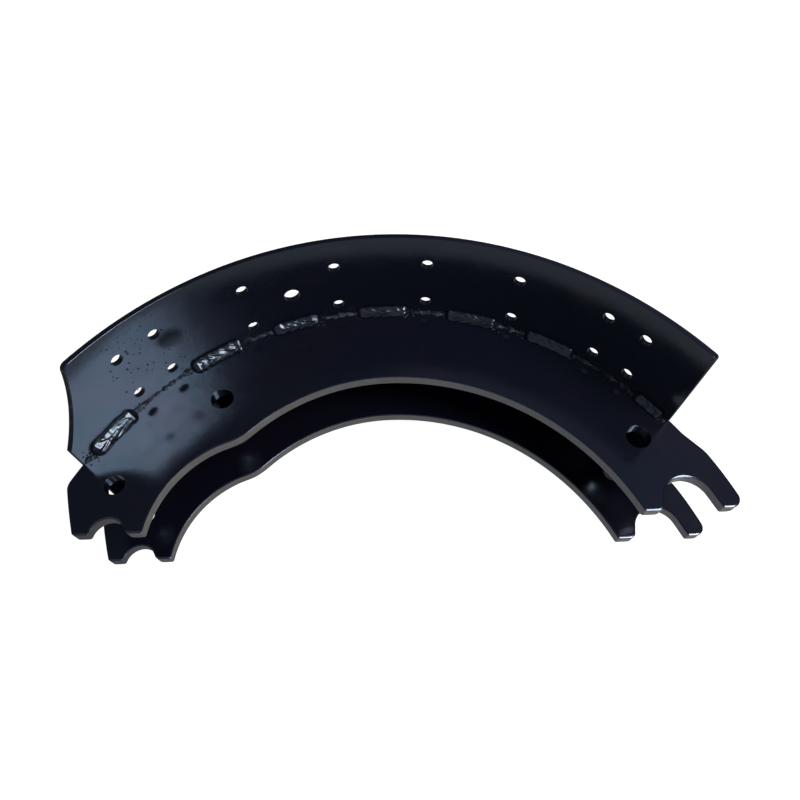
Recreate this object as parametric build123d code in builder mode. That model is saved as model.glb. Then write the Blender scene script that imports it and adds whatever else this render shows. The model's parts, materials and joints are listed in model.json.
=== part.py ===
from build123d import *
from math import cos, radians, sin, sqrt, tan
import os

# Brake shoe of a 16 1/2 x 7 in truck drum: a rolled table, two parallel webs stood on edge
# under it, and stitch welds along the outboard side of each web.
#
# The shoe lies on one rim of its table. +X runs from the cam end to the anchor end, +Y towards
# the crown of the lining face and +Z along the drum's axis. The origin is the centre of the
# anchor pin's seat, midway between the webs. Millimetres.
# Profiles are drawn about the drum's axis. Angles are from the crown, positive to the anchor end.

# Table
TABLE_R = 190.5             # lining face
TABLE_T = 3.2               # plate
TABLE_W = 177.8             # across the drum
ANCHOR_MARGIN = 10.2        # plate beyond the last rivets at the anchor end, degrees
CAM_MARGIN = 7.0            # the same at the cam end's rims, degrees
TONGUE = 7.4                # the middle of the cam end reaches this much further, degrees
TONGUE_W = 83.0             # width of that middle
CAM_CUT_R = 105.0           # hollow curve from the tongue to the rim
CAM_CORNER_R = 4.0          # rim corners at the cam end
ANCHOR_CORNER_R = 2.0       # rim corners at the anchor end
TABLE_EDGE_R = 0.4          # broken edges of the plate

# Rivet holes, and one larger hole midway between two columns and the two rows
RIVET_D = 6.8
RIVET_COLUMNS = (8.15, 24.4, 40.4, 47.3)    # each side of the crown, degrees
RIVET_ROWS = (37.2, 69.0)                   # each side of the middle of the table
GAUGE_D = 9.4

# Webs
WEB_T = 6.8
WEB_GAP = 39.1              # between the webs
WEB_DEPTH = 49.6            # table to arch, at the crown
WEB_ROLL = 0.7              # bevel that shearing left round each web's upper face
LIP_R = 1.3                 # corners of the prongs without a radius of their own

STEP_START = 0.06           # a web's edge steps outwards this far past the table's end, degrees
STEP_RUN = 0.06             # over this much more, degrees

# Anchor end of a web
SEAT_R = 13.5               # for a 27 mm pin
SEAT_DEPTH = 20.5           # its centre, inside the circle of the welded edge
SEAT_ANGLE = 71.2           # and this far from the crown
SEAT_LEAN_IN = 13           # the seat's sides lean outwards, degrees
SEAT_LEAN_OUT = 21
NECK = 2.0                  # past the table the web stands out from the welded edge
SWELL = 5.2                 # and the outer prong stands out this much
SWELL_FOOT = 3.0            # the swell starts this far past the table's end, degrees
SWELL_RUN = 4.4             # and is full after this much more, degrees
SWELL_R = 20.0              # blend at its foot and top
HEEL_TIP_R = 5.5            # outer prong
THUMB_TIP_R = 4.0           # inner prong, on the seat's side
THUMB_W = 10.2              # inner prong, at its tip

# Cam end of a web
ROLLER_R = 9.4              # seat of the roller's journals
ROLLER_DEPTH = 33.9         # its centre, inside the circle of the welded edge
ROLLER_ANGLE = -71.8
ROLLER_DROP = 1.1           # its centre below the tips of all four prongs
TOE_NECK = 0.9              # past the table the web stands out from the welded edge
TOE_W = 7.9                 # outer prong, at its tip
TOE_LEAN = 17.8             # its outer edge leans out, degrees
TOE_TOP_R = 8.0
TOE_TIP_R = 2.8
FINGER_W = 8.9              # inner prong, at its tip
FINGER_TIP_R = 4.0          # inner prong, on the seat's side

# Arch: two arcs that meet below the crown, then a wave into the cam end's hollow
ARCH_X = 1.9                # where the two arcs meet
ARCH_CAM_R = 113.5          # the arc on the cam side
WAVE_R = 32.5
HOLLOW_R = 58.6
HOLLOW_DROP = 5.5           # its centre below the tips of the prongs

# Holes through both webs
CLIP_D = 11.0
CLIP_OUT = 0.6              # away from the crown, from the centre of the roller's seat
CLIP_RISE = 28.5            # above it
RETURN_D = 12.7
RETURN_DEPTH = 28.8         # inside the circle of the welded edge
RETURN_ANGLE = -36.6
HOLDER_D = 13.5
HOLDER_BACK = 18.2          # towards the crown from the anchor pin's seat
HOLDER_RISE = 38.3          # above it

# Stitch welds, each side alike
WELD_LEG = 6.0
WELD_BULGE = 1.1            # rise of the bead's face over its chord
WELD_END_R = 2.4            # rounding of the bead's ends
WELDS = ((-37.6, -27.0), (-21.4, -11.9), (-4.9, 5.2), (12.1, 22.3), (27.7, 37.6))
CAM_WELD = (2.2, 9.8)       # distance from the table's end and length, degrees
ANCHOR_WELD = (0.9, 6.4)

INNER_R = TABLE_R - TABLE_T
OUTBOARD = WEB_GAP / 2 + WEB_T      # outer face of a web from the middle
ANCHOR_END = RIVET_COLUMNS[-1] + ANCHOR_MARGIN
CAM_RIM_END = -RIVET_COLUMNS[-1] - CAM_MARGIN
CAM_END = CAM_RIM_END - TONGUE


def polar(radius, angle):
    return Vector(radius * sin(radians(angle)), radius * cos(radians(angle)))


SEAT = polar(INNER_R - SEAT_DEPTH, SEAT_ANGLE)
ROLLER = polar(INNER_R - ROLLER_DEPTH, ROLLER_ANGLE)
TIP_Y = ROLLER.Y + ROLLER_DROP
DRUM = Plane(origin=(-SEAT.X, -SEAT.Y, 0))


def table_plane(angle):
    """Plane that touches the table: local x along the drum's axis, y towards the anchor end."""
    touch = polar(TABLE_R, angle)
    return Plane(origin=DRUM.from_local_coords(touch), x_dir=(0, 0, 1), z_dir=touch)


def meeting(centre_1, reach_1, centre_2, reach_2):
    """Point at the two reaches from the two centres, on the left going from 1 to 2."""
    step = centre_2 - centre_1
    along = (step.length ** 2 + reach_1 ** 2 - reach_2 ** 2) / (2 * step.length)
    side = sqrt(reach_1 ** 2 - along ** 2)
    unit = step.normalized()
    return centre_1 + unit * along + Vector(-unit.Y, unit.X) * side


os.makedirs("parts", exist_ok=True)

# Table: ring sector, cut back in a hollow curve each side of its cam end
with BuildPart() as table:
    with BuildSketch(DRUM):
        with BuildLine():
            face = CenterArc((0, 0), TABLE_R, 90 - ANCHOR_END, ANCHOR_END - CAM_END)
            back = CenterArc((0, 0), INNER_R, 90 - ANCHOR_END, ANCHOR_END - CAM_END)
            Line(face @ 0, back @ 0)
            Line(face @ 1, back @ 1)
        make_face()
    extrude(amount=TABLE_W / 2, both=True)
    lines = table.edges().filter_by(GeomType.LINE).group_by(Axis.Z)
    fillet((lines[0] + lines[-1]).sort_by(Axis.X)[-2:], ANCHOR_CORNER_R)

    # The cutter is drawn flat, on the plane that touches the table at the cut's middle
    reach = TABLE_R * sin(radians(TONGUE / 2))
    with BuildSketch(table_plane(CAM_END + TONGUE / 2)):
        with BuildLine():
            tongue = (TONGUE_W / 2, -reach)
            rim = (TABLE_W / 2, reach)
            RadiusArc(tongue, rim, CAM_CUT_R)
            Polyline(rim, (TABLE_W / 2 + reach, reach), (TABLE_W / 2 + reach, -2 * reach),
                     (TONGUE_W / 2, -2 * reach), tongue)
        make_face()
        mirror(about=Plane.YZ)
    extrude(amount=4 * TABLE_T, both=True, mode=Mode.SUBTRACT)
    lines = table.edges().filter_by(GeomType.LINE).group_by(Axis.Z)
    fillet((lines[0] + lines[-1]).sort_by(Axis.X)[:2], CAM_CORNER_R)

    faces = table.faces().filter_by(GeomType.CYLINDER).sort_by(SortBy.AREA)[-2:]
    fillet([edge for face in faces for edge in face.outer_wire().edges()], TABLE_EDGE_R)

    for angle in (side * column for column in RIVET_COLUMNS for side in (-1, 1)):
        with Locations(table_plane(angle)):
            with Locations(*[(side * row, 0) for row in RIVET_ROWS for side in (-1, 1)]):
                Hole(RIVET_D / 2, depth=2 * TABLE_T)
    with Locations(table_plane(-(RIVET_COLUMNS[0] + RIVET_COLUMNS[1]) / 2)):
        with Locations((sum(RIVET_ROWS) / 2, 0)):
            Hole(GAUGE_D / 2, depth=2 * TABLE_T)
table.part.label = "table"
export_step(table.part, "parts/table.step")

# Anchor end: neck, swell of the outer prong, pin's seat with its leaning sides, inner prong
neck_foot = polar(INNER_R, ANCHOR_END + STEP_START)
neck_top = polar(INNER_R + NECK, ANCHOR_END + STEP_START + STEP_RUN)
swell_foot = polar(INNER_R + NECK, ANCHOR_END + SWELL_FOOT)
swell_top = polar(INNER_R + SWELL, ANCHOR_END + SWELL_FOOT + SWELL_RUN)
heel_tip = Vector(sqrt((INNER_R + SWELL) ** 2 - TIP_Y ** 2), TIP_Y)
seat_out = SEAT + polar(SEAT_R, 90 - SEAT_LEAN_OUT)
seat_in = SEAT + polar(SEAT_R, SEAT_LEAN_IN - 90)
seat_out_tip = Vector(seat_out.X + (seat_out.Y - TIP_Y) * tan(radians(SEAT_LEAN_OUT)), TIP_Y)
seat_in_tip = Vector(seat_in.X - (seat_in.Y - TIP_Y) * tan(radians(SEAT_LEAN_IN)), TIP_Y)
thumb_tip = seat_in_tip - Vector(THUMB_W, 0)

# Cam end: leaning outer edge up to the neck, roller's seat, inner prong
mouth = sqrt(ROLLER_R ** 2 - ROLLER_DROP ** 2)
roller_out_tip, roller_in_tip = Vector(ROLLER.X - mouth, TIP_Y), Vector(ROLLER.X + mouth, TIP_Y)
toe_tip = roller_out_tip - Vector(TOE_W, 0)
lean = Vector(-sin(radians(TOE_LEAN)), cos(radians(TOE_LEAN)))
half = toe_tip.dot(lean)
toe_top = toe_tip + lean * (sqrt(half ** 2 + (INNER_R + TOE_NECK) ** 2 - toe_tip.length ** 2) - half)
toe_neck_top = polar(INNER_R + TOE_NECK, CAM_END - STEP_START - STEP_RUN)
toe_neck_foot = polar(INNER_R, CAM_END - STEP_START)
finger_tip = roller_in_tip + Vector(FINGER_W, 0)

# Arch: the anchor side's arc runs from the thumb to the arch's top, level there
arch_top = Vector(ARCH_X, INNER_R - WEB_DEPTH)
rise, run = arch_top.Y - TIP_Y, thumb_tip.X - ARCH_X
arch_r = (rise ** 2 + run ** 2) / (2 * rise)
cam_arc = arch_top - Vector(0, ARCH_CAM_R)
hollow = finger_tip + Vector(sqrt(HOLLOW_R ** 2 - HOLLOW_DROP ** 2), -HOLLOW_DROP)
wave = meeting(hollow, HOLLOW_R + WAVE_R, cam_arc, ARCH_CAM_R + WAVE_R)
wave_top = wave + (cam_arc - wave).normalized() * WAVE_R
wave_foot = wave + (hollow - wave).normalized() * WAVE_R

with BuildSketch(DRUM) as web_face:
    with BuildLine():
        RadiusArc(toe_top, toe_neck_top, INNER_R + TOE_NECK)
        Line(toe_neck_top, toe_neck_foot)
        ThreePointArc(toe_neck_foot, (0, INNER_R), neck_foot)
        Line(neck_foot, neck_top)
        RadiusArc(neck_top, swell_foot, INNER_R + NECK)
        Line(swell_foot, swell_top)
        RadiusArc(swell_top, heel_tip, INNER_R + SWELL)
        Polyline(heel_tip, seat_out_tip, seat_out)
        ThreePointArc(seat_out, SEAT + Vector(0, SEAT_R), seat_in)
        Polyline(seat_in, seat_in_tip, thumb_tip)
        RadiusArc(thumb_tip, arch_top, -arch_r)
        RadiusArc(arch_top, wave_top, -ARCH_CAM_R)
        RadiusArc(wave_top, wave_foot, WAVE_R)
        RadiusArc(wave_foot, finger_tip, -HOLLOW_R)
        Line(finger_tip, roller_in_tip)
        ThreePointArc(roller_in_tip, ROLLER + Vector(0, ROLLER_R), roller_out_tip)
        Polyline(roller_out_tip, toe_tip, toe_top)
    make_face()
    for corner, radius in (
        (toe_top, TOE_TOP_R),
        (toe_tip, TOE_TIP_R),
        (roller_out_tip, LIP_R),
        (roller_in_tip, FINGER_TIP_R),
        (finger_tip, LIP_R),
        (thumb_tip, LIP_R),
        (seat_in_tip, THUMB_TIP_R),
        (seat_out_tip, LIP_R),
        (heel_tip, HEEL_TIP_R),
        (swell_top, SWELL_R),
        (swell_foot, SWELL_R),
    ):
        fillet(web_face.vertices().sort_by_distance(corner)[0], radius)
    for centre, diameter in (
        (ROLLER + Vector(-CLIP_OUT, CLIP_RISE), CLIP_D),
        (polar(INNER_R - RETURN_DEPTH, RETURN_ANGLE), RETURN_D),
        (SEAT + Vector(-HOLDER_BACK, HOLDER_RISE), HOLDER_D),
    ):
        with Locations(centre):
            Circle(diameter / 2, mode=Mode.SUBTRACT)

# Webs: two of the same, both with the rolled side of their shearing up
with BuildPart() as web_upper:
    extrude(Location((0, 0, WEB_GAP / 2)) * web_face.sketch, amount=WEB_T)
    welded = web_upper.faces().filter_by(GeomType.CYLINDER).sort_by(SortBy.AREA)[-1].edges()
    upper_face = web_upper.faces().sort_by(Axis.Z)[-1]
    chamfer(upper_face.outer_wire().edges() - welded, WEB_ROLL)
web_upper.part.label = "web_upper"
export_step(web_upper.part, "parts/web_upper.step")

with BuildPart() as web_lower:
    add(Location((0, 0, -WEB_GAP - WEB_T)) * web_upper.part)
web_lower.part.label = "web_lower"
export_step(web_lower.part, "parts/web_lower.step")

# Stitch welds: a bulged fillet in the corner of table and web, revolved about the drum's axis
cam_weld = CAM_END + CAM_WELD[0]
anchor_weld = ANCHOR_END - ANCHOR_WELD[0]
spans = ((cam_weld, cam_weld + CAM_WELD[1]), *WELDS, (anchor_weld - ANCHOR_WELD[1], anchor_weld))
for side, name in ((1, "upper"), (-1, "lower")):
    for number, (first, last) in enumerate(spans, start=1):
        with BuildPart() as weld:
            with BuildSketch(Plane(DRUM.origin, x_dir=polar(1, first), z_dir=polar(1, first + 90))):
                with BuildLine():
                    toe = (INNER_R, side * (OUTBOARD + WELD_LEG))
                    foot = (INNER_R - WELD_LEG, side * OUTBOARD)
                    SagittaArc(toe, foot, -side * WELD_BULGE)
                    Polyline(foot, (INNER_R, side * OUTBOARD), toe)
                make_face()
            revolve(axis=Axis(DRUM.origin, (0, 0, -1)), revolution_arc=last - first)
            ends = weld.faces().filter_by(GeomType.PLANE).filter_by(Axis.Z, reverse=True)
            fillet(ends.edges().filter_by(GeomType.CIRCLE), WELD_END_R)
        weld.part.label = f"weld_{name}_{number}"
        export_step(weld.part, f"parts/weld_{name}_{number}.step")
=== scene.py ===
import bmesh
import bpy
import json
import math
import random
from mathutils import Matrix, Vector, noise


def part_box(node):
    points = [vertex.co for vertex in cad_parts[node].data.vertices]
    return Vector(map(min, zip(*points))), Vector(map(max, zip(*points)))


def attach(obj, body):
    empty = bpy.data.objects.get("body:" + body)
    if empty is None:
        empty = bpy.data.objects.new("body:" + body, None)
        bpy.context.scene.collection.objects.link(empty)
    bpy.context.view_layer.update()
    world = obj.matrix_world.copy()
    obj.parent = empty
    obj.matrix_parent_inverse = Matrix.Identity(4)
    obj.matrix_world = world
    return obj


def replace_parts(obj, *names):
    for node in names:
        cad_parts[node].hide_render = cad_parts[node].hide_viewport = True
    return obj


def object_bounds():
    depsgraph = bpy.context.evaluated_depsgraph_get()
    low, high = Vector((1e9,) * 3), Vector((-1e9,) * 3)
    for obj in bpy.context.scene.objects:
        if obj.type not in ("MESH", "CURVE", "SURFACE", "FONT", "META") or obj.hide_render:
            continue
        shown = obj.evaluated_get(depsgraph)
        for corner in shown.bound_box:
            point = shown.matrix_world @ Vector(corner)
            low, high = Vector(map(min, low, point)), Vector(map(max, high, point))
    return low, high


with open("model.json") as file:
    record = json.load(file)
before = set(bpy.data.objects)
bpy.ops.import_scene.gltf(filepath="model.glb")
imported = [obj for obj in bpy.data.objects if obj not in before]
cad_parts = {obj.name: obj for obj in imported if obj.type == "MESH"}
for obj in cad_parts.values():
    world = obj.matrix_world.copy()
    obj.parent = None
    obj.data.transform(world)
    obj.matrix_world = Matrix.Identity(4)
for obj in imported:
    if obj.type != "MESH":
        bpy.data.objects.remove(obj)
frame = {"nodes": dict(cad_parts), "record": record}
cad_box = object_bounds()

# Brake shoe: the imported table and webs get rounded, painted edges, the stitch welds get their
# ripples, and spatter, nibs and a run of paint lie in and around the joints.
# Metres. Angles are about the drum's axis, in degrees from the crown, positive to the anchor end.

TABLE_R = 0.1905            # lining face
TABLE_T = 0.0032
INNER_R = TABLE_R - TABLE_T
MOUNTS = {mount["name"]: mount for mount in frame["record"]["mounts"]}
AXIS = Vector(MOUNTS["lining_seat"]["pos_m"]) - Vector((0, TABLE_R, 0))
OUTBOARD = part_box("web_upper")[1].z     # outer face of a web, from the middle
SIDES = {"upper": 1, "lower": -1}

MERGE = 1e-6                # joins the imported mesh's split corners
FLAT = math.radians(0.5)    # faces closer than this in angle are one flat
SHARP = math.radians(35)    # a corner steeper than this is rounded
SQUARE = math.radians(70)   # and one steeper than this is square
ARC_LEAST = 0.000004        # sagitta above which a facet of a web's rim is halved
ROLL_DEEP = 0.0007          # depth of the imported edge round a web's upper face
ROLL_FLAT = 0.52            # share of that depth which the scene keeps
ROLL_LEAST = math.radians(15)   # the edge leaves the face more steeply than this
ROUND_ROLL = 0.00060        # width of the rounding there, on each side of the corner
ROUND_SIDE = 0.00003        # where the edge meets the web's side
ROUND_WEB = 0.00030         # and on the webs' square corners
SIDE_TILT = 0.35            # a face whose normal rises less than this is on a web's side
ROUND_TABLE = 0.00020       # the table's corners
BEND_STEP = 1.5             # the table is shaded on strips this wide, degrees
END_TILT = 0.6              # a face whose normal runs further along the table than this, and
END_LEAST = 4e-6            # is larger than this, is on its end; a rivet hole's are smaller


def polar(radius, angle, z):
    """Point at a radius and angle about the drum's axis."""
    turn = math.radians(angle)
    return AXIS + Vector((radius * math.sin(turn), radius * math.cos(turn), z))


# ---------------------------------------------------------------- materials

PAINT_IOR = 1.88
WELD_IOR = 1.66
SHEEN_BLUE = (0.60, 0.82, 1.0)
SHEEN_VIOLET = (0.73, 0.79, 1.0)
PAINT_BLUE = (0.0032, 0.0041, 0.0100)
PAINT_PLUM = (0.0048, 0.0041, 0.0092)
WELD_GREY = (0.0100, 0.0100, 0.0130)
EDGE_GREY = (0.190, 0.175, 0.166)
EDGE_GREEN = (0.152, 0.144, 0.128)
# painted shade and painted light on the cut edge: dark at the cam end, pale towards the anchor end
EDGE_PAINTED_SHADE = (0.022, 0.022, 0.026)
EDGE_PAINTED_LIGHT = (0.300, 0.288, 0.262)
EDGE_SHADE_FADES = (AXIS.x - 0.165, AXIS.x - 0.130)    # where painted shade on it fades out, from the cam end
EDGE_LIGHT_RISES = (AXIS.x, AXIS.x + 0.120)            # and where painted light on it comes in, towards the anchor end
EDGE_DRAG = (1, 1, 0.12)                         # draws the lines out across the plate
END_BROWN = (0.012, 0.010, 0.009)
END_VIOLET = (0.006, 0.005, 0.009)


def noise_node(tree, vector, scale, detail=2.0, distortion=0.0):
    """Noise with about one cloud in each 1 / scale metres."""
    node = tree.nodes.new("ShaderNodeTexNoise")
    node.inputs["Scale"].default_value = scale
    node.inputs["Detail"].default_value = detail
    node.inputs["Distortion"].default_value = distortion
    tree.links.new(vector, node.inputs["Vector"])
    return node.outputs["Fac"]


def spread(tree, value, low, high, from_low=0.3, from_high=0.7):
    """A noise value stretched to a range."""
    node = tree.nodes.new("ShaderNodeMapRange")
    node.inputs["From Min"].default_value = from_low
    node.inputs["From Max"].default_value = from_high
    node.inputs["To Min"].default_value = low
    node.inputs["To Max"].default_value = high
    tree.links.new(value, node.inputs["Value"])
    return node.outputs["Result"]


def two_tone(tree, factor, first, second):
    """Mix of two colours, each a value or another node's."""
    node = tree.nodes.new("ShaderNodeMix")
    node.data_type = "RGBA"
    for socket, colour in (("A", first), ("B", second)):
        if isinstance(colour, tuple):
            node.inputs[socket].default_value = (*colour, 1)
        else:
            tree.links.new(colour, node.inputs[socket])
    tree.links.new(factor, node.inputs["Factor"])
    return node.outputs["Result"]


def bump(tree, height, distance, strength, below=None):
    """Relief of a height, on top of the relief below it."""
    node = tree.nodes.new("ShaderNodeBump")
    node.inputs["Distance"].default_value = distance
    node.inputs["Strength"].default_value = strength
    tree.links.new(height, node.inputs["Height"])
    if below is not None:
        tree.links.new(below, node.inputs["Normal"])
    return node.outputs["Normal"]


def material(name, roughness, ior):
    """New material, its tree, its shader, and coordinates in metres."""
    made = bpy.data.materials.new(name)
    made.use_nodes = True
    tree = made.node_tree
    shader = tree.nodes["Principled BSDF"]
    shader.inputs["Roughness"].default_value = roughness
    shader.inputs["IOR"].default_value = ior
    place = tree.nodes.new("ShaderNodeTexCoord").outputs["Object"]
    clouds = spread(tree, noise_node(tree, place, scale=38), 0, 1)
    sheen = two_tone(tree, clouds, SHEEN_BLUE, SHEEN_VIOLET)
    tree.links.new(sheen, shader.inputs["Specular Tint"])
    return made, tree, shader, place


def paint():
    """Blue-black gloss with an even orange peel and a few thin spots."""
    made, tree, shader, place = material("paint", roughness=0.22, ior=PAINT_IOR)
    clouds = noise_node(tree, place, scale=14)
    colour = two_tone(tree, spread(tree, clouds, 0, 1), PAINT_BLUE, PAINT_PLUM)
    tree.links.new(colour, shader.inputs["Base Color"])
    smears = noise_node(tree, place, scale=55, detail=3, distortion=0.6)
    tree.links.new(spread(tree, smears, low=0.13, high=0.19), shader.inputs["Roughness"])
    relief = None
    for scale, detail, distance in ((1500, 2, 0.0001), (420, 2, 0.0002), (60, 1, 0.0008)):
        height = noise_node(tree, place, scale, detail)
        relief = bump(tree, height, distance, strength=0.10, below=relief)
    tree.links.new(relief, shader.inputs["Normal"])
    return made


def cut_edge():
    """Sheared edge of the plate under a thin coat: paler, with drag lines across it; painted shade
    darkens it at the cam end and painted light pales it towards the anchor end.
    """
    made, tree, shader, place = material("cut_edge", roughness=0.4, ior=PAINT_IOR)
    along = tree.nodes.new("ShaderNodeMapping")
    along.inputs["Scale"].default_value = EDGE_DRAG
    tree.links.new(place, along.inputs["Vector"])
    lines = noise_node(tree, along.outputs["Vector"], scale=900, detail=3)
    patches = noise_node(tree, place, scale=90, detail=3)
    across = tree.nodes.new("ShaderNodeSeparateXYZ")
    tree.links.new(place, across.inputs["Vector"])
    # painted shade darkens the edge at the cam end, painted light pales it towards the anchor end
    shade_fade = spread(tree, across.outputs["X"], 0, 1, *EDGE_SHADE_FADES)
    light_rise = spread(tree, across.outputs["X"], 0, 1, *EDGE_LIGHT_RISES)
    bare = two_tone(tree, spread(tree, patches, 0, 1), EDGE_GREY, EDGE_GREEN)
    colour = two_tone(tree, light_rise, two_tone(tree, shade_fade, EDGE_PAINTED_SHADE, bare), EDGE_PAINTED_LIGHT)
    tree.links.new(colour, shader.inputs["Base Color"])
    tree.links.new(spread(tree, lines, low=0.32, high=0.5), shader.inputs["Roughness"])
    tree.links.new(bump(tree, lines, distance=0.0002, strength=0.25), shader.inputs["Normal"])
    return made


def plate_end():
    """Dull, dark coat on the sheared ends of the table."""
    made, tree, shader, place = material("plate_end", roughness=0.5, ior=1.4)
    patches = noise_node(tree, place, scale=120, detail=3)
    colour = two_tone(tree, spread(tree, patches, 0, 1), END_BROWN, END_VIOLET)
    tree.links.new(colour, shader.inputs["Base Color"])
    tree.links.new(bump(tree, patches, distance=0.0002, strength=0.2), shader.inputs["Normal"])
    return made


def joint_paint():
    """Paint that lies thick and rough in the corner between table and web."""
    made, tree, shader, place = material("joint_paint", roughness=0.5, ior=1.6)
    crumbs = noise_node(tree, place, scale=900, detail=3)
    colour = two_tone(tree, spread(tree, crumbs, 0, 1), PAINT_PLUM, WELD_GREY)
    tree.links.new(colour, shader.inputs["Base Color"])
    tree.links.new(spread(tree, crumbs, low=0.3, high=0.65), shader.inputs["Roughness"])
    tree.links.new(bump(tree, crumbs, distance=0.0006, strength=0.8), shader.inputs["Normal"])
    return made


def weld_paint():
    """The same paint over weld metal, with the metal's fine wrinkles showing."""
    made, tree, shader, place = material("weld_paint", roughness=0.2, ior=WELD_IOR)
    clouds = noise_node(tree, place, scale=220, detail=3)
    colour = two_tone(tree, spread(tree, clouds, 0, 1), PAINT_BLUE, WELD_GREY)
    tree.links.new(colour, shader.inputs["Base Color"])
    tree.links.new(spread(tree, clouds, low=0.14, high=0.24), shader.inputs["Roughness"])
    wrinkles = noise_node(tree, place, scale=1400, detail=3)
    tree.links.new(bump(tree, wrinkles, distance=0.0001, strength=0.15), shader.inputs["Normal"])
    return made


PAINT, CUT_EDGE, WELD = paint(), cut_edge(), weld_paint()
PLATE_END, JOINT = plate_end(), joint_paint()


# ---------------------------------------------------------------- meshes

def piece(name, mesh, materials):
    """Puts a mesh in the scene as a piece of the shoe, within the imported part's box."""
    for made in materials:
        mesh.materials.append(made)
    for vert in mesh.vertices:
        vert.co = [min(max(value, low), high) for value, low, high in zip(vert.co, *cad_box)]
    shown = bpy.data.objects.new(name, mesh)
    bpy.context.scene.collection.objects.link(shown)
    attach(shown, "root")
    return shown


def unrolled(point):
    """The table as a flat blank: x along the arc, y out from the axis."""
    out = point - AXIS
    return Vector((math.atan2(out.x, out.y) * TABLE_R, math.hypot(out.x, out.y), out.z))


def rolled(point):
    """The blank bent back to the table."""
    return polar(point.y, math.degrees(point.x / TABLE_R), point.z)


def merged(node):
    """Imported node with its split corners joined."""
    form = bmesh.new()
    form.from_mesh(frame["nodes"][node].data)
    bmesh.ops.remove_doubles(form, verts=form.verts, dist=MERGE)
    return form


def level_with(item, level):
    """Whether an edge or a face lies at one level."""
    return all(abs(vert.co.z - level) < MERGE for vert in item.verts)


def round_off(form, least, most, reach, segments, level=None):
    """Rounds the corners in a range of angles; where a level is given, only those that lie at it.

    At a level the width is kept, where the shortest edge near a corner would narrow it for all.
    """
    corners = [
        edge for edge in form.edges
        if edge.is_manifold and least < edge.calc_face_angle() <= most
        and (level is None or level_with(edge, level))
    ]
    bmesh.ops.bevel(
        form, geom=corners, offset=reach, segments=segments, profile=0.5, affect="EDGES",
        loop_slide=level is None, clamp_overlap=level is None,
    )


def beyond(vert, other, rims):
    """Point past an end of a rim's edge, on the rim where that runs on smoothly."""
    back = vert.co - other.co
    for edge in vert.link_edges:
        near = edge.other_vert(vert)
        if edge in rims and near is not other and (near.co - vert.co).angle(back) < SHARP:
            return vert.co + (near.co - vert.co).normalized() * back.length
    return vert.co + back


def finer_arcs(form):
    """Halves the facets of the plate's arcs and holes, by four-point subdivision of their rims."""
    form.normal_update()
    rims = dict.fromkeys(       # a dict keeps their order, which a set changes from run to run
        edge for edge in form.edges
        if edge.is_manifold and edge.calc_face_angle() > SHARP
        and level_with(edge, edge.verts[0].co.z)
    )
    middles = []
    for edge in rims:
        start, stop = edge.verts
        chord = start.co + stop.co
        middle = (9 * chord - beyond(start, stop, rims) - beyond(stop, start, rims)) / 16
        if (middle - chord / 2).length > ARC_LEAST:
            middles.append((edge, start, middle))
    added = set()
    for edge, start, middle in middles:
        vert = bmesh.utils.edge_split(edge, start, 0.5)[1]
        vert.co = middle
        added.add(vert)
    for face in list(form.faces):
        ends = [vert for vert in face.verts if vert in added]
        if len(ends) == 2 and len(face.verts) <= 6:
            bmesh.utils.face_split(face, *ends)


def join_flats(form):
    """Makes each flat as few faces as its holes allow."""
    bmesh.ops.dissolve_limit(form, angle_limit=FLAT, verts=form.verts, edges=form.edges)


def in_order(form):
    """Sorts edges and faces by their corners; cuts and fills leave them in an order that varies."""
    form.verts.index_update()
    for items in (form.edges, form.faces):
        ordered = sorted(items, key=lambda item: sorted(vert.index for vert in item.verts))
        rank = {item: place for place, item in enumerate(ordered)}
        items.sort(key=rank.get)


def refill(form, level, up):
    """Fills a flat anew between its rims."""
    flat = [face for face in form.faces if level_with(face, level)]
    bmesh.ops.delete(form, geom=flat, context="FACES")
    rims = [edge for edge in form.edges if edge.is_boundary and level_with(edge, level)]
    normal = Vector((0, 0, up))
    bmesh.ops.triangle_fill(form, use_beauty=True, use_dissolve=False, edges=rims, normal=normal)
    in_order(form)


def steady_normals(form):
    """One normal for each corner, led by the largest faces, so that flats shade flat."""
    form.normal_update()
    normals = {}
    for vert in form.verts:
        total = Vector()
        for face in vert.link_faces:
            total += face.normal * face.calc_area() ** 2
        normals[vert] = total.normalized()
    return normals


def finished(form, name, normals, other):
    """Mesh from a form, with its normals, and its second material on the other faces."""
    for face in form.faces:
        face.smooth = True
        face.material_index = int(face in other)
    form.verts.index_update()
    ordered = [normals[vert] for vert in form.verts]
    mesh = bpy.data.meshes.new(name)
    form.to_mesh(mesh)
    form.free()
    mesh.normals_split_custom_set_from_vertices(ordered)
    return mesh


def outline(form):
    """Faces across the plate's edge that belong to its outline: the largest run of them."""
    rest = {face for face in form.faces if abs(face.normal.z) < SIDE_TILT}
    runs = []
    while rest:
        run, front = set(), [rest.pop()]
        while front:
            face = front.pop()
            run.add(face)
            for edge in face.edges:
                for near in edge.link_faces:
                    if near in rest:
                        rest.remove(near)
                        front.append(near)
        runs.append(run)
    return max(runs, key=len)


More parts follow.
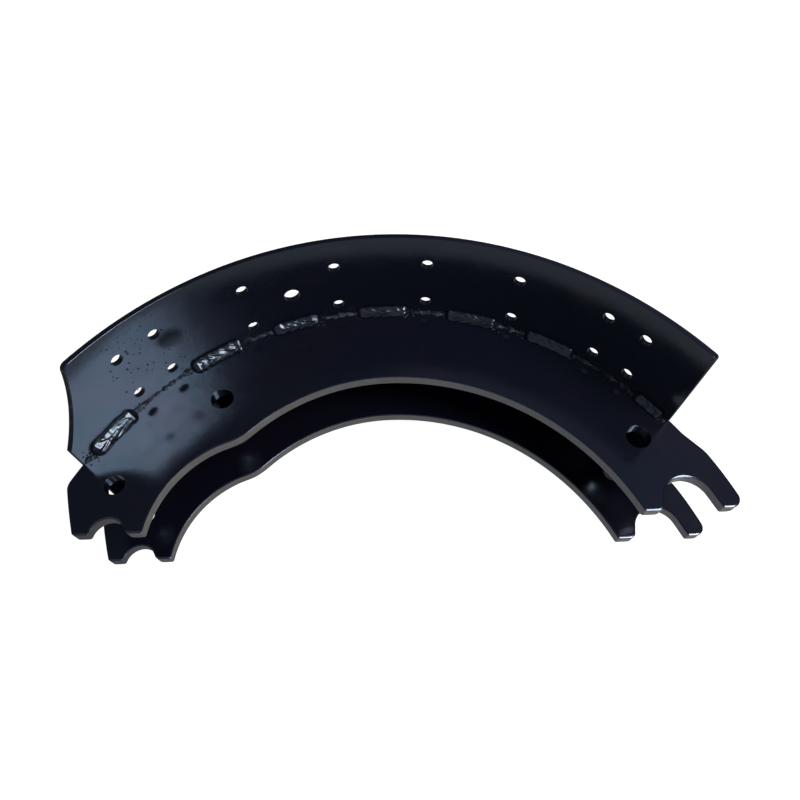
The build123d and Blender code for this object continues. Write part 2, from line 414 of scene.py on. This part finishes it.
def web(side):
    """Web of one side, its cut outline paler than its faces and holes."""
    form = merged(f"web_{side}")
    join_flats(form)
    finer_arcs(form)
    finer_arcs(form)
    face = max(vert.co.z for vert in form.verts)
    back = min(vert.co.z for vert in form.verts)
    refill(form, face, 1)
    refill(form, back, -1)
    join_flats(form)
    for vert in form.verts:
        if vert.co.z > face - ROLL_DEEP - MERGE:
            vert.co.z = face - (face - vert.co.z) * ROLL_FLAT
    form.normal_update()
    round_off(form, ROLL_LEAST, SHARP, ROUND_ROLL, 5, face)
    round_off(form, SHARP, math.pi, ROUND_SIDE, 2, face - ROLL_DEEP * ROLL_FLAT)
    round_off(form, SQUARE, math.pi, ROUND_WEB, 3, face)
    round_off(form, SQUARE, math.pi, ROUND_WEB, 3, back)
    refill(form, face, 1)
    refill(form, back, -1)
    edge = outline(form)
    mesh = finished(form, f"painted_web_{side}", steady_normals(form), edge)
    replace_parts(piece(mesh.name, mesh, [PAINT, CUT_EDGE]), f"web_{side}")


def table():
    """Table, worked on as a flat blank and rolled again, so that its curve shades evenly."""
    form = merged("table")
    for vert in form.verts:
        vert.co = unrolled(vert.co)
    round_off(form, SHARP, math.pi, ROUND_TABLE, 2)
    ends = [vert.co.x for vert in form.verts]
    step = math.radians(BEND_STEP) * TABLE_R
    for cut in range(math.ceil(min(ends) / step), math.floor(max(ends) / step) + 1):
        everything = form.verts[:] + form.edges[:] + form.faces[:]
        bmesh.ops.bisect_plane(
            form, geom=everything, dist=MERGE, plane_co=(cut * step, 0, 0), plane_no=(1, 0, 0),
        )
    in_order(form)
    flat = steady_normals(form)
    normals = {}
    for vert in form.verts:
        turn = vert.co.x / TABLE_R
        tip = flat[vert]
        normals[vert] = Vector((
            tip.x * math.cos(turn) + tip.y * math.sin(turn),
            tip.y * math.cos(turn) - tip.x * math.sin(turn),
            tip.z,
        ))
    ends = {
        face for face in form.faces
        if abs(face.normal.x) > END_TILT and face.calc_area() > END_LEAST
    }
    for vert in form.verts:
        vert.co = rolled(vert.co)
    mesh = finished(form, "painted_table", normals, ends)
    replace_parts(piece(mesh.name, mesh, [PAINT, PLATE_END]), "table")


for side in SIDES:
    web(side)
table()


# ---------------------------------------------------------------- welds

BEAD_BULGE = 0.0009         # rise of a bead's face over its chord
BEAD_END = 0.0042           # length of a bead's rounded end
BEAD_STUB = 0.1             # share of the leg left at the very end
BEAD_STEP = 0.0003          # between two rows of points
BEAD_COLUMNS = 40           # points across a bead
BEAD_SINK = 0.0002          # into the plates
BEAD_FADE = 0.002           # over which the ripples grow
LEG_WANDER = 0.07           # change of the leg along a bead, as a share of it
CREST_WANDER = 0.0008       # of the line down a bead's middle on which the ripples turn back
BENDS = (0.4, 0.1)          # of the ripples by slow and by quick noise, in pitches
OVERTONE = 0.25             # makes the ripples' crests narrower
HEIGHTS = (0.9, 0.7)        # mean of the ripples' height and its change, as shares of a bead's
WRINKLE = 0.00008           # height of the fine wrinkles
BULGE_EDGE = 8              # powers by which the bulge
RIPPLE_EDGE = 6             # and the ripples end at foot and toe

# Noise over a bead: factor of the bead's number, then turns in a metre along it and across it
EDGE_NOISE = (1, 300, 3)
SLOW_NOISE = (7.3, 90, 150)
QUICK_NOISE = (3.1, 160, 600)
HEIGHT_NOISE = (1.7, 150, 300)

# Each bead, cam end first: leg, then its ripples' pitch, sweep and height, the lean of its face
# towards the web, and the smooth length at its start and at its stop
BEADS = (
    (0.0054, 0.0150, 4.6, 0.00024, 0.050, 0.0008, 0.0050),
    (0.0053, 0.0060, 2.2, 0.00026, 0.100, 0.0042, 0.0022),
    (0.0050, 0.0058, 2.2, 0.00030, 0.100, 0.0046, 0.0022),
    (0.0050, 0.0062, 2.8, 0.00030, 0.080, 0.0030, 0.0022),
    (0.0050, 0.0075, 4.2, 0.00028, 0.060, 0.0030, 0.0022),
    (0.0048, 0.0066, 2.8, 0.00024, 0.040, 0.0030, 0.0022),
    (0.0042, 0.0060, 2.4, 0.00020, 0.040, 0.0030, 0.0022),
)
NUMBERS = range(1, len(BEADS) + 1)


def span(node):
    """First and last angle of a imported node."""
    points = [vert.co - AXIS for vert in frame["nodes"][node].data.vertices]
    angles = [math.degrees(math.atan2(point.x, point.y)) for point in points]
    return min(angles), max(angles)


def flow(number, along, wide, seed, coarse, fine):
    """Smooth noise over a bead's face, drawn out along it."""
    return noise.noise(Vector((along * coarse, wide * fine, number * seed)))


def grown(distance):
    """Share of their height that the ripples have at a distance from where they begin."""
    return min(1.0, max(0.0, distance / BEAD_FADE))


def section(number, along, length, across):
    """Leg of a bead at a distance along it, and the rise of its face between foot -1 and toe 1."""
    full_leg, pitch, sweep, height, lean, start, stop = BEADS[number - 1]
    near_end = min(1.0, along / BEAD_END, (length - along) / BEAD_END)
    fullness = math.sqrt(max(0.0, 1 - (1 - near_end) ** 2))
    wander = 1 + LEG_WANDER * flow(number, along, math.copysign(1, across), *EDGE_NOISE)
    leg = full_leg * (BEAD_STUB + (1 - BEAD_STUB) * fullness) * wander

    wide = across * leg * math.sqrt(0.5)
    slow = flow(number, along, wide, *SLOW_NOISE)
    quick = flow(number, along, wide, *QUICK_NOISE)
    swept = (along + sweep * abs(wide + CREST_WANDER * slow)) / pitch
    turn = 2 * math.pi * (swept + BENDS[0] * slow + BENDS[1] * quick)
    ripple = math.sin(turn) + OVERTONE * math.sin(2 * turn)
    ripple *= HEIGHTS[0] + HEIGHTS[1] * flow(number, along, wide, *HEIGHT_NOISE)
    ripple = 0.5 * height * ripple + WRINKLE * quick

    bulge = 1 - across ** BULGE_EDGE
    rise = (BEAD_BULGE * bulge - lean * wide * bulge) * fullness
    begun = grown(along - start) * grown(length - stop - along)
    return leg, rise + ripple * begun * (1 - across ** RIPPLE_EDGE)


def in_corner(side, angle, down=0.0, out=0.0):
    """Point down from the table and out from a web, measured from just inside both plates."""
    return polar(INNER_R + BEAD_SINK - down, angle, SIDES[side] * (OUTBOARD - BEAD_SINK + out))


def lofted(form, grid, name):
    """Closed mesh through rings of points, one after the other."""
    for low, high in zip(grid, grid[1:]):
        count = len(low)
        for i in range(count):
            form.faces.new((low[i], low[(i + 1) % count], high[(i + 1) % count], high[i]))
    form.faces.new(grid[0])
    form.faces.new(grid[-1])
    bmesh.ops.recalc_face_normals(form, faces=form.faces)
    for face in form.faces:
        face.smooth = True
    mesh = bpy.data.meshes.new(name)
    form.to_mesh(mesh)
    form.free()
    return mesh


def bead(side, number):
    """Stitch weld: a bulged fillet between toe and foot, with swept ripples."""
    node = f"weld_{side}_{number}"
    first, last = span(node)
    length = math.radians(last - first) * INNER_R
    rows = round(length / BEAD_STEP)
    form = bmesh.new()
    grid = []
    for row in range(rows + 1):
        angle = first + (last - first) * row / rows
        line = []
        for column in range(BEAD_COLUMNS + 1):
            across = 1 - 2 * column / BEAD_COLUMNS
            leg, rise = section(number, length * row / rows, length, across)
            rise *= math.sqrt(0.5)
            down, out = leg * (1 - across) / 2 + rise, leg * (1 + across) / 2 + rise
            line.append(form.verts.new(in_corner(side, angle, down, out)))
        line.append(form.verts.new(in_corner(side, angle)))
        grid.append(line)
    mesh = lofted(form, grid, f"bead_{side}_{number}")
    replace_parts(piece(mesh.name, mesh, [WELD]), node)


for side in SIDES:
    for number in NUMBERS:
        bead(side, number)


# ---------------------------------------------------------------- joint

RUN_LEG = 0.0021            # of the paint in the corner, mean
RUN_LEAST = 0.35            # least leg, as a share of it
RUN_DIP = 0.25              # hollow of the paint's face, as a share of the leg
RUN_STEP = 0.0007           # between two rows of points
RUN_COLUMNS = 6             # points across
RUN_LAP = 0.25              # degrees that it reaches under a bead

# Noise that changes the leg: share of it, turns in a metre along, turns across, and a start
RUN_NOISE = ((1.1, 250, 1, 40), (0.66, 900, 2, 0))


def run_leg(number, along, share):
    """Leg of the paint at a distance along the corner, and a share of the way down the web."""
    change = sum(
        part * noise.noise(Vector((along * coarse, share * fine, start + number)))
        for part, coarse, fine, start in RUN_NOISE
    )
    return RUN_LEG * max(RUN_LEAST, 1 + change)


def run(side, number, first, last):
    """Uneven line of paint in the corner, from one bead to the next."""
    length = math.radians(last - first) * INNER_R
    rows = max(4, round(length / RUN_STEP))
    form = bmesh.new()
    grid = []
    for row in range(rows + 1):
        angle = first + (last - first) * row / rows
        line = []
        for column in range(RUN_COLUMNS + 1):
            share = column / RUN_COLUMNS
            leg = run_leg(number, math.radians(angle) * INNER_R, share)
            dip = RUN_DIP * leg * math.sin(math.pi * share) * math.sqrt(0.5)
            down, out = leg * share - dip, leg * (1 - share) - dip
            line.append(form.verts.new(in_corner(side, angle, down, out)))
        line.append(form.verts.new(in_corner(side, angle)))
        grid.append(line)
    mesh = lofted(form, grid, f"run_{side}_{number}")
    piece(mesh.name, mesh, [JOINT])


def runs(side):
    """Every stretch of the corner that no bead covers, the plate's ends left out."""
    beads = [span(f"weld_{side}_{number}") for number in NUMBERS]
    table_first, table_last = span("table")
    starts = [table_first + RUN_LAP] + [last - RUN_LAP for first, last in beads]
    stops = [first + RUN_LAP for first, last in beads] + [table_last - RUN_LAP]
    for number, (first, last) in enumerate(zip(starts, stops), 1):
        run(side, number, first, last)


for side in SIDES:
    runs(side)


# ---------------------------------------------------------------- spatter

DROPS = 7                   # at each end of a bead
DROPS_TAIL = 16             # but at the cam end of the first
DROP_REACH = 1.7            # degrees along the corner
DROP_BACK = 0.15            # share of that reach which is over the bead
DROP_AWAY = (0.0008, 0.0022)    # least distance from the corner, and its spread
DROP_R = (0.00025, 0.00070)
DROP_STRETCH = (0.8, 1.3)
NIBS = 130                  # specks of dust under the table's paint
NIB_R = (0.00022, 0.00050)
NIB_STRETCH = (0.8, 1.6)
NIB_ANGLES = (-50, -18)
NIB_LEVELS = (0.036, 0.084)
SPATS = ((-49.1, 0.0655), (-46.8, 0.0585), (-45.3, 0.0538), (-43.7, 0.0521), (-45.4, 0.0684))
SPAT_R = 0.00055
SPAT_STRETCH = (0.8, 1.2)
SPATTER_SEED = 11


def drop(form, place, radius, stretch, rng):
    """Stretched ball of a few facets, turned at random."""
    turn = Matrix.Rotation(rng.uniform(0, math.tau), 4, "Z")
    shape = Matrix.Diagonal((1, rng.uniform(*stretch), 1, 1))
    where = Matrix.Translation(place)
    bmesh.ops.create_icosphere(form, subdivisions=2, radius=radius, matrix=where @ turn @ shape)


def spatter(side):
    """Droplets round the ends of the beads, and specks on the table, in one piece."""
    rng = random.Random(SPATTER_SEED)
    form = bmesh.new()
    sign = SIDES[side]
    for number in NUMBERS:
        first, last = span(f"weld_{side}_{number}")
        for end, out in ((first, -1), (last, 1)):
            for _ in range(DROPS_TAIL if number == 1 and out < 0 else DROPS):
                angle = end + out * DROP_REACH * (rng.random() - DROP_BACK)
                away = abs(rng.gauss(0, DROP_AWAY[1])) + DROP_AWAY[0]
                radius = rng.uniform(*DROP_R)
                if rng.random() < 0.5:
                    place = polar(INNER_R, angle, sign * (OUTBOARD + away))
                else:
                    place = polar(INNER_R - away, angle, sign * OUTBOARD)
                drop(form, place, radius, DROP_STRETCH, rng)
    for _ in range(NIBS):
        place = polar(INNER_R, rng.uniform(*NIB_ANGLES), sign * rng.uniform(*NIB_LEVELS))
        drop(form, place, rng.uniform(*NIB_R), NIB_STRETCH, rng)
    for angle, level in SPATS:
        drop(form, polar(INNER_R, angle, sign * level), SPAT_R, SPAT_STRETCH, rng)
    for face in form.faces:
        face.smooth = True
    mesh = bpy.data.meshes.new(f"spatter_{side}")
    form.to_mesh(mesh)
    form.free()
    piece(mesh.name, mesh, [WELD])


for side in SIDES:
    spatter(side)


# ---------------------------------------------------------------- stage

# Each lamp: azimuth from +X and elevation in degrees, distance, half its angle as the shoe sees
# it, radiance and colour
LAMPS = {
    "key": (-29, 53, 1.6, 12.3, 15.5, (1.0, 1.0, 1.0)),
    "fill": (-118, 50, 2.2, 40, 0.27, (0.85, 0.88, 1.0)),
    "back": (48, 54, 1.6, 22, 0.11, (0.80, 0.74, 1.0)),
}
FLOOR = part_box("table")[0].z
MIDDLE = Vector((AXIS.x, AXIS.y + 0.13, 0))     # of the shoe, which the lamps face
SET_R = 4.0                 # pale wall round the set
SET_WALL = 1.6
SET_SIDES = 96
BACKDROP = (0.34, 0.34, 0.34)
LIFTS = (("Is Camera Ray", 0.98), ("Is Glossy Ray", 0.04), ("Is Transmission Ray", 0.85))
ROOM_BLUE = (0.8, 0.85, 1.0)
ROOM_GLOW = 0.06
WHITE = (1, 1, 1)

# A phone's wide lens close over the shoe
CAMERA_AT = AXIS + Vector((-0.0001, -0.05773, 0.33001))
CAMERA_AIM = AXIS + Vector((0.00807, 0.12198, 0.02615))
CAMERA_LENS = 27.54
CAMERA_SENSOR = 36


def lamp(name, azimuth, elevation, away, half, glow, colour):
    """Round soft box that faces the shoe."""
    turn, lift = math.radians(azimuth), math.radians(elevation)
    flat = math.cos(lift)
    towards = Vector((math.cos(turn) * flat, math.sin(turn) * flat, math.sin(lift)))
    radius = away * math.tan(math.radians(half))
    light = bpy.data.lights.new(name, "AREA")
    light.shape = "DISK"
    light.size = 2 * radius
    light.energy = math.pi * math.pi * radius ** 2 * glow
    light.color = colour
    held = bpy.data.objects.new(name, light)
    held.location = MIDDLE + towards * away
    held.rotation_euler = towards.to_track_quat("Z", "Y").to_euler()
    held.visible_camera = False
    bpy.context.scene.collection.objects.link(held)


def backdrop():
    """Diffuse and pale, lifted to white for the rays that look at it, with the shadow kept."""
    made = bpy.data.materials.new("backdrop")
    made.use_nodes = True
    tree = made.node_tree
    tree.nodes.clear()
    path = tree.nodes.new("ShaderNodeLightPath")
    lift = None
    for ray, amount in LIFTS:
        share = tree.nodes.new("ShaderNodeMath")
        share.operation = "MULTIPLY_ADD"
        share.inputs[1].default_value = amount
        share.inputs[2].default_value = 0
        tree.links.new(path.outputs[ray], share.inputs[0])
        if lift is not None:
            tree.links.new(lift, share.inputs[2])
        lift = share.outputs[0]
    diffuse = tree.nodes.new("ShaderNodeBsdfDiffuse")
    diffuse.inputs["Color"].default_value = (*BACKDROP, 1)
    white = tree.nodes.new("ShaderNodeEmission")
    tree.links.new(lift, white.inputs["Strength"])
    both = tree.nodes.new("ShaderNodeAddShader")
    tree.links.new(diffuse.outputs["BSDF"], both.inputs[0])
    tree.links.new(white.outputs["Emission"], both.inputs[1])
    out = tree.nodes.new("ShaderNodeOutputMaterial")
    tree.links.new(both.outputs["Shader"], out.inputs["Surface"])
    return made


def backdrop_set():
    """Round floor with a wall."""
    form = bmesh.new()
    bmesh.ops.create_circle(form, cap_ends=True, radius=SET_R, segments=SET_SIDES)
    rim = [edge for edge in form.edges if edge.is_boundary]
    for item in bmesh.ops.extrude_edge_only(form, edges=rim)["geom"]:
        if isinstance(item, bmesh.types.BMVert):
            item.co.z += SET_WALL
    mesh = bpy.data.meshes.new("stage")
    form.to_mesh(mesh)
    form.free()
    mesh.materials.append(backdrop())
    return mesh


def room():
    """Dim blue world for the shoe, white for the camera."""
    world = bpy.data.worlds.new("room")
    world.use_nodes = True
    tree = world.node_tree
    seen = tree.nodes.new("ShaderNodeLightPath").outputs["Is Camera Ray"]
    tint = two_tone(tree, seen, ROOM_BLUE, WHITE)
    glow = spread(tree, seen, ROOM_GLOW, 1, 0, 1)
    background = tree.nodes["Background"]
    tree.links.new(tint, background.inputs["Color"])
    tree.links.new(glow, background.inputs["Strength"])
    return world


floor = bpy.data.objects.new("stage", backdrop_set())
floor.location = (MIDDLE.x, MIDDLE.y, FLOOR)
bpy.context.scene.collection.objects.link(floor)

for name, looks in LAMPS.items():
    lamp(name, *looks)
bpy.context.scene.world = room()
bpy.context.scene.view_settings.view_transform = "Standard"

lens = bpy.data.cameras.new("camera")
lens.lens = CAMERA_LENS
lens.sensor_width = CAMERA_SENSOR
camera = bpy.data.objects.new("camera", lens)
camera.location = CAMERA_AT
camera.rotation_euler = (CAMERA_AIM - CAMERA_AT).to_track_quat("-Z", "Y").to_euler()
bpy.context.scene.collection.objects.link(camera)
bpy.context.scene.camera = camera
